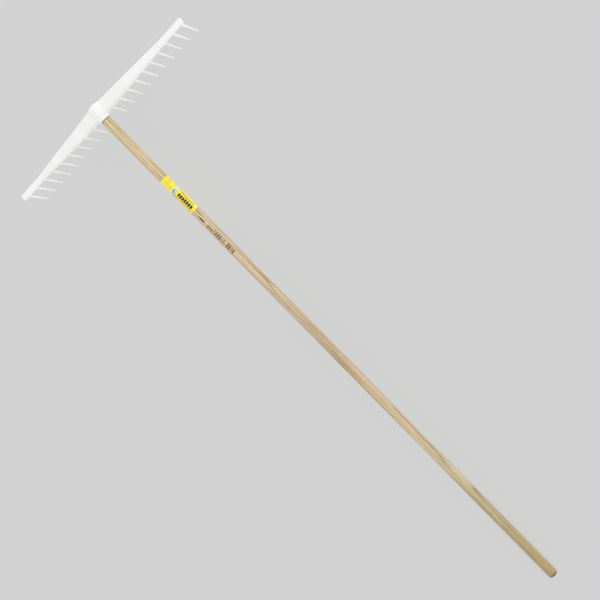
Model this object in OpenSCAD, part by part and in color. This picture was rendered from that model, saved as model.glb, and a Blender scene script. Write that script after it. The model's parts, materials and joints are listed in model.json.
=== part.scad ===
// Hay rake with a moulded nylon head on a long ash handle.
// The rake stands as it rests: on the tips of its tines and the lower edge of its butt.
// +X runs along the head to the user's left, +Y along the handle to its butt, +Z up.
// The origin is on the floor, below the middle of the whole rake. Millimetres.

/* [Head] */
// Length of the head from end to end
bar_len = 694; // [682:2:760]
// Width of the bar beside the socket
bar_w_mid = 41; // [38:0.5:44]
// Width of the bar at its ends
bar_w_end = 18.5; // [15:0.5:20]
// Depth of the bar beside the socket
bar_depth_mid = 18.5; // [16:0.5:22]
// Depth of the bar at its ends
bar_depth_end = 8.5; // [8:0.5:11]
// Length of the straight stretch at each end of the bar
bar_end_run = 80; // [50:5:100]
// Radius of the upright corners at the bar's ends
bar_corner_r = 3; // [1:0.5:5]
// Height of the handle's axis above the underside of the bar
axis_rise = 11.5; // [9:0.5:13]
// Thickness of the bar's two side walls
bar_wall = 2.6; // [2:0.1:3.5]
// Thickness of the bar's top
bar_roof = 3; // [2.4:0.1:4]

/* [Tines] */
// Number of tines on each side of the handle
tines_per_side = 10; // [6:1:10]
// Distance between the two tines nearest the handle
tine_gap_mid = 52.4; // [52:0.1:58]
// Distance between neighbouring tines on one side
tine_pitch = 34.2; // [30:0.1:34.6]
// Free length of a tine below the bar
tine_len = 94; // [70:1:110]
// Radius of the flared root of a tine
tine_root_r = 6.4; // [5.5:0.1:6.5]
// Radius of a tine at the foot of its flare
tine_shaft_r = 3.4; // [3:0.1:4]
// Radius of the rounded tip
tine_tip_r = 1.7; // [1.4:0.1:2.2]
// Height of the flare
tine_flare_h = 12; // [8:1:16]
// Thickness of the web that braces a tine's root, front and back
tine_web_t = 3.2; // [2.5:0.1:4.5]

/* [Socket] */
// Angle between the handle and the tines
handle_angle = 68; // [62:1:80]
// Outer diameter of the socket
socket_od = 37; // [36:0.5:38]
// Thickness of the socket's wall at its mouth
mouth_wall = 2; // [1.6:0.1:3]
// Length over which the socket narrows to its mouth
mouth_taper = 17; // [10:1:18]
// Distance from the row of tines to the socket's mouth, along the handle
socket_front = 29; // [20:0.5:40]
// Distance from the row of tines to the socket's closed back, along the handle
socket_back = 22.5; // [20:0.5:32]
// Radius of the rounded edge of the closed back
socket_back_r = 8; // [5:0.5:9]
// Depth to which the handle is pushed in
seat_depth = 48.5; // [40:0.5:50]
// Half of the length of the solid block around the socket
hub_half_len = 19.5; // [19:0.1:19.8]

/* [Handle] */
// Diameter of the handle
handle_d = 28; // [26:0.5:30]
// Length of the handle from its seat to its butt
handle_len = 1800; // [1400:10:2000]
// Radius of the rounded edge of the butt
butt_r = 8.5; // [5:0.5:11]
// Chamfer on the end that sits in the socket
nose_chamfer = 2; // [1:0.5:4]
// How much less than the pole's radius its turned end has, so that it slides into the socket
seat_play = 0.2; // [0.16:0.02:0.3]
// Distance by which the turned end shows past the socket's mouth
neck_past = 1.5; // [1:0.5:5]

/* [Label sleeve] */
// Distance from the socket's mouth to the label sleeve
label_start = 225; // [150:1:400]
// Length of the label sleeve
label_len = 120; // [80:1:180]
// Thickness of the label sleeve
label_t = 0.15; // [0.1:0.05:0.2]

/* [Fixing screw] */
// Diameter of the screw's shank
screw_d = 4; // [3.5:0.1:5]
// Length of the shank below the head
screw_len = 18; // [14:1:22]
// Diameter of the screw's head
screw_head_d = 8; // [7:0.1:9]
// Height of the screw's head
screw_head_h = 2.6; // [2:0.1:3]
// Distance from the row of tines to the screw, along the handle
screw_at = 10; // [6:0.5:14]
// Distance from the handle's axis to the flat pad under the head
screw_pad = 20; // [19:0.5:21]

/* [Hidden] */
tine_count = 2 * tines_per_side;
$fn = 96;
arc_steps = 8;
nylon = [0.94, 0.94, 0.93];
ash = [0.80, 0.70, 0.55];
label_yellow = [0.93, 0.85, 0.35];
zinc = [0.72, 0.73, 0.74];

// The straight ends of the bar begin this far from the middle
taper_end = bar_len / 2 - bar_end_run;
socket_r = socket_od / 2;
handle_r = handle_d / 2;
seat_at = socket_front - seat_depth;
butt_at = seat_at + handle_len;
bore_r = handle_r;
neck_r = handle_r - seat_play;
mouth_r = handle_r + mouth_wall;
neck_end = socket_front + neck_past;
screw_hole_r = screw_d / 2 + 0.2;
pad_r = screw_head_d / 2 + 1.5;
// How far a cut runs past the face that it opens
cut = 1;
pocket_floor = -axis_rise - cut;

// How the rake rests: a line that touches the tips from below touches the butt too
tip_centre = [0, -axis_rise - tine_len + tine_tip_r];
butt_centre = along(butt_at - butt_r, handle_r - butt_r);
rest_run = butt_centre - tip_centre;
rest_tilt = 90 - atan2(rest_run[1], rest_run[0]) - acos((butt_r - tine_tip_r) / norm(rest_run));
rest_rise = tine_tip_r - turned(tip_centre)[1];
y_back = turned(along(socket_back_r - socket_back, socket_r - socket_back_r))[0] - socket_back_r;
y_butt = turned(along(butt_at - butt_r, butt_r - handle_r))[0] + butt_r;
rest_shift = -(y_back + y_butt) / 2;

// [y, z] of a point on the handle, given its distance along the axis and below it
function along(t, below) = [
    t * sin(handle_angle) - below * cos(handle_angle),
    -t * cos(handle_angle) - below * sin(handle_angle)
];
// [y, z] after the head is turned into its resting attitude
function turned(p) = [
    p[0] * cos(rest_tilt) - p[1] * sin(rest_tilt),
    p[0] * sin(rest_tilt) + p[1] * cos(rest_tilt)
];
// A value that runs evenly from the hub to the start of the bar's straight end
function tapered(x, mid, end) =
    mid + (end - mid) * min(max(abs(x) - hub_half_len, 0) / (taper_end - hub_half_len), 1);
function bar_w(x) = tapered(x, bar_w_mid, bar_w_end);
// Tines are numbered from the user's left to their right
function tine_x(i) =
    (i <= tines_per_side ? 1 : -1)
    * (tine_gap_mid / 2 + tine_pitch * (i <= tines_per_side ? tines_per_side - i : i - tines_per_side - 1));
function tine_name(i) = str("tine_", i < 10 ? "0" : "", i);
// Points of an arc, from one angle to the other
function arc(centre, r, from, to) = [
    for (s = [0 : arc_steps])
        let (a = from + (to - from) * s / arc_steps)
        centre + r * [cos(a), sin(a)]
];

// Puts the head's own frame into its resting place
module rest() {
    translate([0, rest_shift, rest_rise]) rotate([rest_tilt, 0, 0]) children();
}
// Turns +Z to run along the handle to its butt, and +Y to its underside
module on_handle() {
    rotate([handle_angle - 180, 0, 0]) children();
}

// Plan of one arm of the bar, drawn in from its outline by the given inset
module arm_plan(inset) {
    far = bar_len / 2 - inset;
    w_hub = bar_w_mid / 2 - inset;
    w_end = bar_w_end / 2 - inset;
    c = max(bar_corner_r - inset, 0.4);
    polygon(concat(
        [[hub_half_len, -w_hub], [taper_end, -w_end]],
        arc([far - c, -w_end + c], c, -90, 0),
        arc([far - c, w_end - c], c, 0, 90),
        [[taper_end, w_end], [hub_half_len, w_hub]]
    ));
}
// Side view of one arm, from the given floor up to the top less the inset
module arm_side(floor_z, inset) {
    top_hub = bar_depth_mid - axis_rise - inset;
    top_end = bar_depth_end - axis_rise - inset;
    polygon([
        [hub_half_len, floor_z],
        [bar_len / 2, floor_z],
        [bar_len / 2, top_end],
        [taper_end, top_end],
        [hub_half_len, top_hub]
    ]);
}
// Solid of one arm: its plan carried up, kept where its side view allows
module arm_solid(plan_inset, floor_z, top_inset) {
    intersection() {
        translate([0, 0, floor_z]) linear_extrude(2 * bar_depth_mid) arm_plan(plan_inset);
        rotate([90, 0, 0]) linear_extrude(2 * bar_w_mid, center = true) arm_side(floor_z, top_inset);
    }
}
// The arm on the +X side: an upside-down channel with a boss and a web over each tine
module arm() {
    difference() {
        arm_solid(0, -axis_rise, 0);
        difference() {
            arm_solid(bar_wall, pocket_floor, bar_roof);
            translate([hub_half_len - cut, -bar_w_mid / 2, pocket_floor])
                cube([bar_wall + cut, bar_w_mid, bar_depth_mid + cut]);
            for (i = [1 : tines_per_side]) translate([tine_x(i), 0, pocket_floor]) {
                cylinder(r = tine_root_r, h = bar_depth_mid + cut);
                translate([-tine_web_t / 2, -bar_w_mid / 2, 0])
                    cube([tine_web_t, bar_w_mid, bar_depth_mid + cut]);
            }
        }
    }
}
module crossbar_left() {
    color(nylon) rest() arm();
}
module crossbar_right() {
    color(nylon) rest() mirror([1, 0, 0]) arm();
}

// Closed tube for the handle's end, in the solid middle block of the bar, with a slimmer mouth
module socket_hub() {
    mouth_round = 0.7;
    lead_in = 0.6;
    past_mouth = seat_depth + lead_in + cut;
    color(nylon) rest() difference() {
        union() {
            translate([-hub_half_len, -bar_w_mid / 2, -axis_rise])
                cube([2 * hub_half_len, bar_w_mid, bar_depth_mid]);
            on_handle() {
                rotate_extrude() polygon(concat(
                    [[0, -socket_back]],
                    arc([socket_r - socket_back_r, socket_back_r - socket_back], socket_back_r, -90, 0),
                    [[socket_r, socket_front - mouth_taper]],
                    arc([mouth_r - mouth_round, socket_front - mouth_round], mouth_round, 0, 90),
                    [[0, socket_front]]
                ));
                translate([0, 0, screw_at]) rotate([-90, 0, 0]) cylinder(r = pad_r, h = screw_pad);
            }
        }
        on_handle() {
            translate([0, 0, seat_at]) cylinder(r = bore_r, h = past_mouth);
            translate([0, 0, socket_front - lead_in])
                cylinder(r1 = bore_r, r2 = bore_r + 2 * lead_in, h = 2 * lead_in);
            translate([0, 0, screw_at]) rotate([-90, 0, 0]) cylinder(r = screw_hole_r, h = screw_pad + cut);
        }
    }
}

// One tine with its flared root and the web that braces it to both walls of the bar
module tine(i) {
    flare_out = tine_root_r - tine_shaft_r;
    flare_r = (pow(tine_flare_h, 2) + pow(flare_out, 2)) / (2 * flare_out);
    flare_sweep = asin(tine_flare_h / flare_r);
    web_top = bar_w(tine_x(i)) / 2 - bar_wall / 2;
    web_foot = 0.7 * tine_shaft_r;
    web_slope = 1.1;
    web_h = tine_flare_h + web_slope * (web_top - tine_root_r);
    color(nylon) rest() translate([tine_x(i), 0, -axis_rise]) {
        rotate_extrude() polygon(concat(
            [[0, 0]],
            arc([tine_shaft_r + flare_r, -tine_flare_h], flare_r, 180 - flare_sweep, 180),
            arc([0, tine_tip_r - tine_len], tine_tip_r, 0, -90)
        ));
        rotate([90, 0, 90]) linear_extrude(tine_web_t, center = true)
            polygon([[-web_top, 0], [web_top, 0], [web_foot, -web_h], [-web_foot, -web_h]]);
    }
}

// Ash pole, turned down a little for the socket and rounded at its butt
module handle() {
    color(ash) rest() on_handle() difference() {
        rotate_extrude() polygon(concat(
            [[0, seat_at], [neck_r - nose_chamfer, seat_at], [neck_r, seat_at + nose_chamfer]],
            [[neck_r, neck_end - seat_play], [handle_r, neck_end]],
            arc([handle_r - butt_r, butt_at - butt_r], butt_r, 0, 90),
            [[0, butt_at]]
        ));
        translate([0, screw_pad - screw_len, screw_at]) rotate([-90, 0, 0])
            cylinder(d = screw_d, h = screw_len);
    }
}

// Thin printed sleeve around the pole
module label_sleeve() {
    color(label_yellow) rest() on_handle()
        translate([0, 0, socket_front + label_start])
            difference() {
                cylinder(r = handle_r + label_t, h = label_len);
                translate([0, 0, -cut]) cylinder(r = handle_r, h = label_len + 2 * cut);
            }
}

// Round-headed screw with a cross recess, from the socket's underside into the pole
module fixing_screw() {
    recess_w = 1.1;
    recess_l = 4.6;
    recess_depth = 1.5;
    head_r = screw_head_d / 2;
    dome_r = (pow(head_r, 2) + pow(screw_head_h, 2)) / (2 * screw_head_h);
    dome_sweep = asin(head_r / dome_r);
    color(zinc) rest() on_handle() translate([0, screw_pad, screw_at]) rotate([-90, 0, 0])
        difference() {
            union() {
                rotate_extrude() polygon(concat(
                    [[0, 0]],
                    arc([0, screw_head_h - dome_r], dome_r, 90 - dome_sweep, 90)
                ));
                translate([0, 0, -screw_len]) cylinder(d = screw_d, h = screw_len);
            }
            for (a = [0, 90]) rotate([0, 0, a])
                translate([-recess_l / 2, -recess_w / 2, screw_head_h - recess_depth])
                    cube([recess_l, recess_w, recess_depth + cut]);
        }
}

socket_hub();
crossbar_left();
crossbar_right();
handle();
label_sleeve();
fixing_screw();
for (i = [1 : tine_count]) tine(i);
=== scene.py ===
"""Hay rake: a white nylon head on a long ash pole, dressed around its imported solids.

Sizes in the classes are in millimetres, and RakeFrame puts points into metres at rest.
The head's own frame has its origin where the pole's axis crosses the row of tines: x runs along
the bar to the user's left, y towards the user and z away from the tips of the tines.
The pole's own frame has the same origin and x: y leaves the pole's underside and z runs along
the pole to its butt.
"""

import itertools
import json
import logging
import math
from dataclasses import dataclass
from enum import Enum
from typing import Callable, NamedTuple

import bmesh
import bpy
import numpy as np
from mathutils import Matrix, Vector


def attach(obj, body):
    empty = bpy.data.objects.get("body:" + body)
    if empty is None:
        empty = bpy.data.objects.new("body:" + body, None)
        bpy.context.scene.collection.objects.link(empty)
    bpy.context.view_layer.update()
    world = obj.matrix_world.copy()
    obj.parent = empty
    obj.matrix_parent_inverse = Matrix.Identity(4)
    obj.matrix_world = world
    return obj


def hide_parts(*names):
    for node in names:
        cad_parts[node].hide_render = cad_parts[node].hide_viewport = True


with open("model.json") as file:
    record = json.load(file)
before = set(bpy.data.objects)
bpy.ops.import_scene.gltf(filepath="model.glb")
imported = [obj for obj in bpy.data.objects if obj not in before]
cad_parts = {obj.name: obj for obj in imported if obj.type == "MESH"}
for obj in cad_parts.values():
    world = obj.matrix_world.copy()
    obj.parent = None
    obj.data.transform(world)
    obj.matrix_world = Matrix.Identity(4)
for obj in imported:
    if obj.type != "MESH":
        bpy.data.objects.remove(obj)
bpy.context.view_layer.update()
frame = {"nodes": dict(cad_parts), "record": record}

MM = 0.001
QUARTER = math.pi / 2
MERGE = 2e-6
BODY = "root"
UV_MAP = "surface"
WHOLE, INNER = slice(None), slice(1, -1)
LOWER, UPPER = slice(None, -1), slice(1, None)
log = logging.getLogger("hay_rake")


class Side(Enum):
    """The two halves of the head, with the sign that x has on each."""

    LEFT = 1
    RIGHT = -1


@dataclass(frozen=True)
class HeadSizes:
    """Driving sizes of the moulded bar and its tines."""

    bar_len: float = 694.0
    bar_w_mid: float = 41.0
    bar_w_end: float = 18.5
    bar_depth_mid: float = 18.5
    bar_depth_end: float = 8.5
    bar_end_run: float = 80.0
    bar_corner_r: float = 3.0
    axis_rise: float = 11.5
    wall: float = 2.6
    roof: float = 3.0
    top_edge_r: float = 3.0
    lip_r: float = 0.8
    hub_half_len: float = 19.5
    hub_cut: float = 24.0
    tines_per_side: int = 10
    tine_gap_mid: float = 52.4
    tine_pitch: float = 34.2
    boss_r: float = 6.4
    web_t: float = 3.2

    @property
    def bottom(self) -> float:
        """Height of the bar's underside."""
        return -self.axis_rise

    @property
    def end(self) -> float:
        """Distance of the bar's end from the middle."""
        return self.bar_len / 2

    def tapered(self, x: np.ndarray, mid: float, end: float) -> np.ndarray:
        """Value that runs evenly from the hub to the start of the bar's straight end."""
        run = (np.abs(x) - self.hub_half_len) / (self.end - self.bar_end_run - self.hub_half_len)
        return mid + (end - mid) * np.clip(run, 0, 1)

    def half_width(self, x: np.ndarray) -> np.ndarray:
        """Half of the bar's width at x."""
        return self.tapered(x, self.bar_w_mid, self.bar_w_end) / 2

    def top(self, x: np.ndarray) -> np.ndarray:
        """Height of the bar's top at x."""
        return self.bottom + self.tapered(x, self.bar_depth_mid, self.bar_depth_end)

    def tine_xs(self) -> np.ndarray:
        """Distances of one side's tines from the middle, nearest first."""
        return self.tine_gap_mid / 2 + self.tine_pitch * np.arange(self.tines_per_side)

    def tine_x(self, number: int) -> float:
        """Place along the bar of a tine, counted from 1 at the user's left."""
        past = number - self.tines_per_side
        return self.tine_xs()[-past] if past <= 0 else -self.tine_xs()[past - 1]


@dataclass(frozen=True)
class PoleSizes:
    """Driving sizes of the pole and of the socket that holds it."""

    angle: float = 68.0
    socket_r: float = 18.5
    socket_front: float = 29.0
    socket_back: float = 22.5
    socket_back_r: float = 8.0
    mouth_wall: float = 2.0
    mouth_taper: float = 17.0
    mouth_round: float = 0.7
    seat_depth: float = 48.5
    neck_past: float = 1.5
    length: float = 1800.0
    r: float = 14.0
    butt_r: float = 8.5
    nose_chamfer: float = 2.0
    neck_play: float = 0.2
    label_start: float = 225.0
    label_len: float = 120.0
    pad_at: float = 10.0
    pad_r: float = 5.5
    pad_y: float = 20.0
    oval: float = 0.05
    sway: float = 0.04
    wave_runs: tuple = (410.0, 173.0, 97.0)
    sway_turn: float = 1.3
    waves_from: float = 30.0
    waves_rise: float = 60.0

    @property
    def seat_at(self) -> float:
        """Where the pole's inner end sits, along the pole."""
        return self.socket_front - self.seat_depth

    @property
    def butt_at(self) -> float:
        """Where the pole ends, along the pole."""
        return self.seat_at + self.length

    @property
    def mount_middle(self) -> float:
        """Middle of the full round stretch, from past the mouth to the butt's rounding."""
        return (self.socket_front + self.neck_past + self.butt_at - self.butt_r) / 2

    def unevenness(self, angle: np.ndarray, along: np.ndarray) -> np.ndarray:
        """How far the sanded pole stands off a true cylinder: slow waves along and around it.

        Args:
            angle: angles around the pole.
            along: places along it.

        Returns:
            What the radius gains, which is nothing near the socket.
        """
        slow, middle, fast = (along / run for run in self.wave_runs)
        oval = self.oval * np.sin(2 * angle + slow)
        sway = self.sway * np.sin(angle - middle + self.sway_turn) * np.sin(fast)
        return (oval + sway) * np.clip((along - self.waves_from) / self.waves_rise, 0, 1)


@dataclass(frozen=True)
class RakeFrame:
    """Where the head and the pole lie at rest."""

    origin: np.ndarray
    tilt: float
    slope: float

    @classmethod
    def from_record(cls, record: dict, pole: PoleSizes) -> "RakeFrame":
        """Reads the rest from the record's pole mount.

        Args:
            record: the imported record.
            pole: sizes that say where on the pole the mount's middle is.

        Returns:
            The frame, with its origin on the pole's axis above the row of tines.
        """
        mount = next(m for m in record["mounts"] if m["name"] == "pole")
        axis = np.array(mount["axis"], float)
        origin = np.array(mount["pos_m"], float) - axis * pole.mount_middle * MM
        slope = math.atan2(axis[2], axis[1])
        return cls(origin, slope + math.radians(90 - pole.angle), slope)

    @property
    def pole_turn(self) -> float:
        """Turn about x that lays z along the pole and y out of its underside."""
        return self.slope - QUARTER

    def turned(self, points: np.ndarray, angle: float) -> np.ndarray:
        """Turns points about x and moves them to the origin.

        Args:
            points: points in millimetres.
            angle: the turn.

        Returns:
            Points at rest, in metres.
        """
        c, s = math.cos(angle), math.sin(angle)
        x, y, z = np.moveaxis(points, -1, 0)
        return np.stack([x, y * c - z * s, y * s + z * c], axis=-1) * MM + self.origin

    def head(self, points: np.ndarray) -> np.ndarray:
        """Points of the head's own frame, put into their resting place."""
        return self.turned(points, self.tilt)

    def pole(self, points: np.ndarray) -> np.ndarray:
        """Points of the pole's own frame, put into their resting place."""
        return self.turned(points, self.pole_turn)


def linked(name: str, data: bpy.types.ID) -> bpy.types.Object:
    """Puts data into the scene.

    Args:
        name: name of the new object.
        data: its mesh, camera or light.

    Returns:
        The object.
    """
    made = bpy.data.objects.new(name, data)
    bpy.context.scene.collection.objects.link(made)
    return made


def finished(name: str, mesh: bpy.types.Mesh, sharp: float) -> bpy.types.Object:
    """Merges doubles, smooths all but sharp edges and puts the mesh into the scene.

    Args:
        name: name of the piece.
        mesh: mesh with its place in its vertices.
        sharp: angle between faces, in degrees, above which an edge stays sharp.

    Returns:
        The object, at the origin.
    """
    shell = bmesh.new()
    shell.from_mesh(mesh)
    bmesh.ops.remove_doubles(shell, verts=shell.verts, dist=MERGE)
    bmesh.ops.dissolve_degenerate(shell, edges=shell.edges, dist=MERGE / 2)
    bmesh.ops.recalc_face_normals(shell, faces=shell.faces)
    shell.to_mesh(mesh)
    shell.free()
    mesh.shade_smooth()
    mesh.set_sharp_from_angle(angle=math.radians(sharp))
    return linked(name, mesh)


def dressed(piece: bpy.types.Object, finish: bpy.types.Material, node: str) -> bpy.types.Object:
    """Gives a piece its finish and lets it stand for its node.

    Args:
        piece: the finished piece.
        finish: its material.
        node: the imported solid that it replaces.

    Returns:
        The piece.
    """
    piece.data.materials.append(finish)
    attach(piece, BODY)
    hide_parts(node)
    log.info("%s: %d faces", piece.name, len(piece.data.polygons))
    return piece


def corner_arcs(corners: np.ndarray, radii: np.ndarray, steps: int) -> np.ndarray:
    """Rounds the corners of closed outlines.

    A corner C with unit directions p and n to its neighbours becomes the arc
    C + r p (1 - sin a) + r n (1 - cos a) for a from 0 to 90 degrees, where r is the corner's
    radius, or less than half of the shorter side beside it.

    Args:
        corners: outlines, as (outline, corner, 2).
        radii: radius of each corner.
        steps: pieces in an arc.

    Returns:
        Outlines with steps + 1 points for each corner.
    """
    sides = np.stack([np.roll(corners, 1, axis=1), np.roll(corners, -1, axis=1)]) - corners
    spans = np.linalg.norm(sides, axis=-1, keepdims=True)
    r = np.minimum(radii[:, None], 0.45 * spans.min(axis=0))[:, :, None]
    p, n = (sides / np.maximum(spans, 1e-9))[:, :, :, None]
    a = np.linspace(0, QUARTER, steps + 1)[:, None]
    arcs = corners[:, :, None] + r * p * (1 - np.sin(a)) + r * n * (1 - np.cos(a))
    return arcs.reshape(len(corners), -1, 2)


def skin(name: str, rings: np.ndarray, sharp: float,
         uv: tuple[np.ndarray, np.ndarray] | None = None, capped: bool = True) -> bpy.types.Object:
    """Lays a skin over rings of points.

    Point (i, j) is point j of ring i, each quad joins neighbours in i and j, and the last point
    of a ring joins its first. A cap is a fan from the mean of the end ring. Without caps the
    last ring joins the first, as on a sleeve whose rings run down its outside and back inside.

    Args:
        name: name of the piece.
        rings: points in metres, as (ring, point, 3).
        sharp: angle above which an edge stays sharp, in degrees.
        uv: u of each ring, and v of each point and of the first one come round again.
        capped: whether the two end rings get caps.

    Returns:
        The finished object.
    """
    count, around = rings.shape[:2]
    i, j = np.meshgrid(np.arange(count - 1 if capped else count), np.arange(around), indexing="ij")
    after, beside = (i + 1) % count, (j + 1) % around
    quads = np.stack([i * around + j, i * around + beside, after * around + beside,
                      after * around + j], axis=-1).reshape(-1, 4)
    points = rings.reshape(-1, 3)
    faces = quads.tolist()
    if capped:
        points = np.concatenate([points, rings[[0, -1]].mean(axis=1)])
        ring = np.arange(around)
        hub = np.full(around, count * around)
        last = (count - 1) * around + ring
        faces += np.stack([np.roll(ring, -1), ring, hub], axis=-1).tolist()
        faces += np.stack([last, np.roll(last, -1), hub + 1], axis=-1).tolist()
    mesh = bpy.data.meshes.new(name)
    mesh.from_pydata(points.tolist(), [], faces)
    if uv is not None:
        u, v = uv
        corner_u = np.stack([u[i], u[i], u[after], u[after]], axis=-1).ravel()
        corner_v = np.stack([v[j], v[j + 1], v[j + 1], v[j]], axis=-1).ravel()
        if capped:
            ends = np.repeat([u[0], u[-1]], around * 3)
            corner_u = np.concatenate([corner_u, ends])
            spokes = np.stack([v[1:], v[:-1], v[:-1]], axis=-1).ravel()
            backs = np.stack([v[:-1], v[1:], v[:-1]], axis=-1).ravel()
            corner_v = np.concatenate([corner_v, spokes, backs])
        layer = mesh.uv_layers.new(name=UV_MAP)
        layer.uv.foreach_set("vector", np.stack([corner_u, corner_v], axis=-1).ravel())
    return finished(name, mesh, sharp)


def soft_max(a: np.ndarray, b: np.ndarray, blend: float | np.ndarray) -> np.ndarray:
    """Larger of two values, with a fillet: max(a, b) + blend h^2 / 4, h = 1 - |a - b| / blend."""
    h = np.clip(1 - np.abs(a - b) / blend, 0, 1)
    return np.maximum(a, b) + h * h * blend / 4


def soft_min(a: np.ndarray, b: np.ndarray, blend: float) -> np.ndarray:
    """Smaller of two values, with a fillet, as the mirror image of soft_max."""
    return -soft_max(-a, -b, blend)


def rounded_corner(p: np.ndarray, q: np.ndarray, r: np.ndarray) -> np.ndarray:
    """Distance to a corner of radius r: |(p, q)| - r past its centre both ways, else max(p, q) - r."""
    return np.hypot(np.maximum(p, 0), np.maximum(q, 0)) + np.minimum(np.maximum(p, q), 0) - r


def picked(axis: int, along: slice, first: slice, second: slice) -> tuple[slice, ...]:
    """Part of a grid: along on one axis, and first and second on the other two, in order."""
    across = iter((first, second))
    return tuple(along if k == axis else next(across) for k in range(3))


def settled(distance: Callable[[np.ndarray], np.ndarray], points: np.ndarray,
            step: float) -> np.ndarray:
    """Moves points onto the zero level of a distance function.

    Four times, p becomes p - d g / |g|^2, where d is the distance and g its gradient, and moves
    by half a cell at most.

    Args:
        distance: signed distance of points (..., 3).
        points: points near the level.
        step: side of a cell.

    Returns:
        The moved points.
    """
    nudge = 0.05 * step
    for _ in range(4):
        slope = np.stack([distance(points + nudge * e) - distance(points - nudge * e)
                          for e in np.eye(3)], axis=-1) / (2 * nudge)
        pull = distance(points) / np.maximum((slope ** 2).sum(axis=-1), 0.2)
        points = points - np.clip(pull, -step / 2, step / 2)[:, None] * slope
    return points


def surface_net(distance: Callable[[np.ndarray], np.ndarray], low: tuple, high: tuple,
                step: float) -> tuple[np.ndarray, np.ndarray]:
    """Covers the zero level of a distance function with quads.

    Each grid cell that the level crosses gets one vertex, at the mean of the crossings on its
    edges, and each crossed grid edge gets the quad of the four cells around it. The vertices
    are then moved onto the level itself.

    Args:
        distance: signed distance of points (..., 3), negative inside.
        low: lowest corner of the grid.
        high: highest corner of the grid.
        step: side of a cell.

    Returns:
        Vertices (n, 3) and quads (m, 4), which face outwards.
    """
    lines = [np.arange(a, b + step, step) for a, b in zip(low, high)]
    grid = np.stack(np.meshgrid(*lines, indexing="ij"), axis=-1)
    value = distance(grid)
    cells = tuple(n - 1 for n in value.shape)
    index = np.arange(math.prod(cells)).reshape(cells)
    total = np.zeros((*cells, 3))
    count = np.zeros(cells)
    ring = ((LOWER, LOWER), (UPPER, LOWER), (UPPER, UPPER), (LOWER, UPPER))
    quads = []
    for axis in range(3):
        starts = picked(axis, LOWER, WHOLE, WHOLE)
        first, second = value[starts], value[picked(axis, UPPER, WHOLE, WHOLE)]
        crossed = (first < 0) != (second < 0)
        share = np.where(crossed, first / np.where(crossed, first - second, 1), 0)
        point = (grid[starts] + share[..., None] * step * np.eye(3)[axis]) * crossed[..., None]
        for sides in itertools.product((LOWER, UPPER), repeat=2):
            edges = picked(axis, WHOLE, *sides)
            total += point[edges]
            count += crossed[edges]
        inner = picked(axis, WHOLE, INNER, INNER)
        hit = crossed[inner]
        quad = np.stack([index[picked(axis, WHOLE, *sides)][hit] for sides in ring], axis=-1)
        outwards = (first[inner][hit] < 0) ^ (axis == 1)
        quads.append(np.where(outwards[:, None], quad, quad[:, ::-1]))
    used = count.ravel() > 0
    number = np.cumsum(used) - 1
    points = total.reshape(-1, 3)[used] / count.ravel()[used][:, None]
    return settled(distance, points, step), number[np.concatenate(quads)]


def arithmetic(operation: str, reflected: bool = False) -> Callable[..., "Wire"]:
    """Makes a method of Wire that adds one Math node.

    Args:
        operation: the node's operation.
        reflected: whether self comes after the other value.

    Returns:
        The method.
    """
    def method(self: "Wire", *others: "Wire | float") -> "Wire":
        """Result of the operation on self and the others."""
        values = (*others, self) if reflected else (self, *others)
        return self.graph.node("ShaderNodeMath", {"operation": operation}, dict(enumerate(values)))
    return method


class Wire:
    """One socket's value in a material, on which arithmetic adds Math nodes."""

    __add__ = arithmetic("ADD")
    __radd__ = arithmetic("ADD", reflected=True)
    __sub__ = arithmetic("SUBTRACT")
    __rsub__ = arithmetic("SUBTRACT", reflected=True)
    __mul__ = arithmetic("MULTIPLY")
    __rmul__ = arithmetic("MULTIPLY", reflected=True)
    __truediv__ = arithmetic("DIVIDE")
    __rtruediv__ = arithmetic("DIVIDE", reflected=True)
    __pow__ = arithmetic("POWER")
    __abs__ = arithmetic("ABSOLUTE")
    fraction = arithmetic("FRACT")
    floor = arithmetic("FLOOR")
    sine = arithmetic("SINE")
    larger = arithmetic("MAXIMUM")

    def __init__(self, graph: "Graph", socket: bpy.types.NodeSocket) -> None:
        """Wraps a socket of the graph."""
        self.graph = graph
        self.socket = socket

    def rise(self, low: float, high: float) -> "Wire":
        """0 below low, 1 above high, and smooth between; low may be the larger one."""
        return self.graph.node("ShaderNodeMapRange", {"interpolation_type": "SMOOTHSTEP"},
                               {"Value": self, "From Min": low, "From Max": high})

    def between(self, low: float, high: float, soft: float) -> "Wire":
        """1 between low and high, 0 outside, with edges of the width soft."""
        return self.rise(low - soft / 2, low + soft / 2) * self.rise(high + soft / 2, high - soft / 2)


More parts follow.
